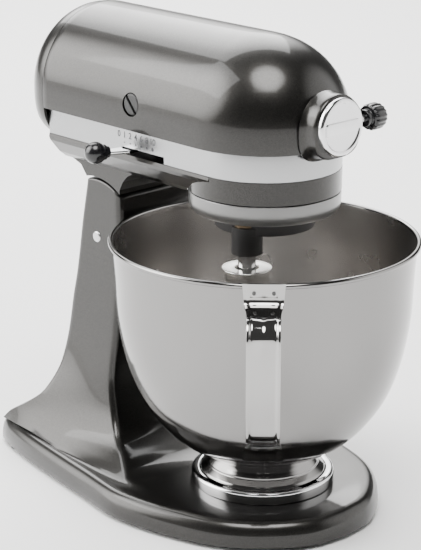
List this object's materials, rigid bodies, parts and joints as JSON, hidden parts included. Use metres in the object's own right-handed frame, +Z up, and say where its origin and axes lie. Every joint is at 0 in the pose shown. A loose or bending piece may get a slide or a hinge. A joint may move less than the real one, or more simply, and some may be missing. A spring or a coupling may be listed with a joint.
{
  "type": "stand mixer",
  "caption": "Tilt-head stand mixer with a bayonet steel bowl, planetary wire whip, front power hub and side speed lever.",
  "frame": {"origin": "on the worktop under the middle of the mixer's bounding box", "axes": "+Z up, -Y towards the power hub at the front, -X the speed lever's side"},
  "size_m": [0.2228, 0.3536, 0.353],
  "materials": {
    "pewter_paint": "metallic pewter clearcoat",
    "satin_trim": "satin",
    "steel_mirror": "mirror polished stainless steel",
    "chrome": "polished chrome",
    "drip_grey": "satin",
    "dark_cast": "dark satin",
    "steel": "ground",
    "gear_steel": "machined",
    "bronze": "machined",
    "copper": "enamelled wire",
    "whip_alloy": "burnished",
    "black_plastic": "gloss",
    "matte_black": "matte",
    "board_green": "matte",
    "rubber": "matte",
    "carbon": "matte"
  },
  "bodies": {
    "base": {"stand_casting": "pewter_paint", "rubber_feet": "rubber", "bowl_clamp_plate": "chrome", "clamp_plate_screws": "steel", "hinge_pin": "steel"},
    "bowl": {"bowl_shell": "steel_mirror", "bowl_foot_ring": "steel_mirror", "bowl_handle": "steel_mirror"},
    "head_lock_lever": {"lock_lever": "chrome", "lock_knob": "black_plastic"},
    "head_lock_pin": {"lock_pin": "steel"},
    "head": {"upper_housing": "pewter_paint", "lower_housing": "pewter_paint", "trim_band": "satin_trim", "rear_cover": "pewter_paint", "rear_cover_screw": "steel", "cord_inlet_bushing": "matte_black", "centre_bushing": "bronze", "worm_wheel_pin": "steel", "worm_gear_bracket": "dark_cast", "ring_gear": "gear_steel", "hub_bushing": "bronze", "field_laminations": "gear_steel", "field_windings": "copper", "front_motor_bracket": "dark_cast", "rear_motor_bracket": "dark_cast", "motor_bearings": "bronze", "brush_holders": "bronze", "carbon_brushes": "carbon", "brush_caps": "matte_black", "speed_control_board": "board_green"},
    "planetary": {"centre_shaft": "steel", "centre_gear": "gear_steel", "centre_bevel_gear": "gear_steel", "planetary_carrier": "dark_cast", "agitator_bushing": "bronze", "planetary_groove_pin": "steel", "drip_ring": "drip_grey"},
    "agitator": {"agitator_shaft": "steel", "agitator_cross_pin": "steel", "agitator_pinion": "gear_steel", "whip_hub": "whip_alloy", "whip_wires": "steel"},
    "worm_wheel_unit": {"worm_wheel": "bronze", "worm_wheel_pinion": "gear_steel"},
    "armature": {"armature_shaft": "steel", "motor_worm": "gear_steel", "commutator": "copper", "armature_core": "gear_steel", "armature_windings": "copper", "cooling_fan": "matte_black", "speed_governor": "steel"},
    "hub_drive": {"hub_spindle": "steel", "hub_bevel_gear": "gear_steel"},
    "speed_control": {"speed_lever": "chrome", "speed_lever_knob": "black_plastic", "speed_link": "steel"},
    "hub_cover": {"hub_cap": "chrome"},
    "attachment_clamp": {"attachment_knob": "black_plastic", "attachment_knob_screw": "steel"}
  },
  "joints": [
    {"name": "head_tilt", "type": "hinge", "parent": "base", "child": "head", "pos_m": [0, 0.0718, 0.1836], "axis": [-1, 0, 0], "range_deg": [0, 45]},
    {"name": "bowl_twist", "type": "hinge", "parent": "base", "child": "bowl", "pos_m": [0, -0.068, 0.022], "axis": [0, 0, 1], "range_deg": [0, 25]},
    {"name": "lock_lever_turn", "type": "hinge", "parent": "base", "child": "head_lock_lever", "pos_m": [0.039, 0.06918, 0.21349], "axis": [1, 0, 0], "range_deg": [0, 40]},
    {"name": "lock_pin_slide", "type": "slide", "parent": "base", "child": "head_lock_pin", "axis": [-1, 0, 0], "range_m": [0, 0.008]},
    {"name": "planetary_spin", "type": "hinge", "parent": "head", "child": "planetary", "pos_m": [0, -0.068, 0.235], "axis": [0, 0, 1], "continuous": true},
    {"name": "agitator_spin", "type": "hinge", "parent": "planetary", "child": "agitator", "pos_m": [-0.02678, -0.07775, 0.2], "axis": [0, 0, 1], "continuous": true},
    {"name": "worm_wheel_spin", "type": "hinge", "parent": "head", "child": "worm_wheel_unit", "pos_m": [0.022, -0.03013, 0.28], "axis": [0, 0, 1], "continuous": true},
    {"name": "armature_spin", "type": "hinge", "parent": "head", "child": "armature", "pos_m": [0, 0.04, 0.299], "axis": [0, 1, 0], "continuous": true},
    {"name": "hub_drive_spin", "type": "hinge", "parent": "head", "child": "hub_drive", "pos_m": [0, -0.11, 0.299], "axis": [0, 1, 0], "continuous": true},
    {"name": "speed_lever_slide", "type": "slide", "parent": "head", "child": "speed_control", "axis": [0, -1, 0], "range_m": [0, 0.033]},
    {"name": "hub_cap_pull", "type": "slide", "parent": "head", "child": "hub_cover", "axis": [0, -1, 0], "range_m": [0, 0.03]},
    {"name": "attachment_knob_turn", "type": "hinge", "parent": "head", "child": "attachment_clamp", "pos_m": [0.03, -0.133, 0.299], "axis": [1, 0, 0], "continuous": true}
  ],
  "couplings": [
    {"joint": "agitator_spin", "follows": "planetary_spin", "ratio": -3.375},
    {"joint": "worm_wheel_spin", "follows": "planetary_spin", "ratio": -4},
    {"joint": "armature_spin", "follows": "planetary_spin", "ratio": -120},
    {"joint": "hub_drive_spin", "follows": "planetary_spin", "ratio": -1.25},
    {"joint": "lock_pin_slide", "follows": "lock_lever_turn", "m_per_rad": 0.011459}
  ]
}
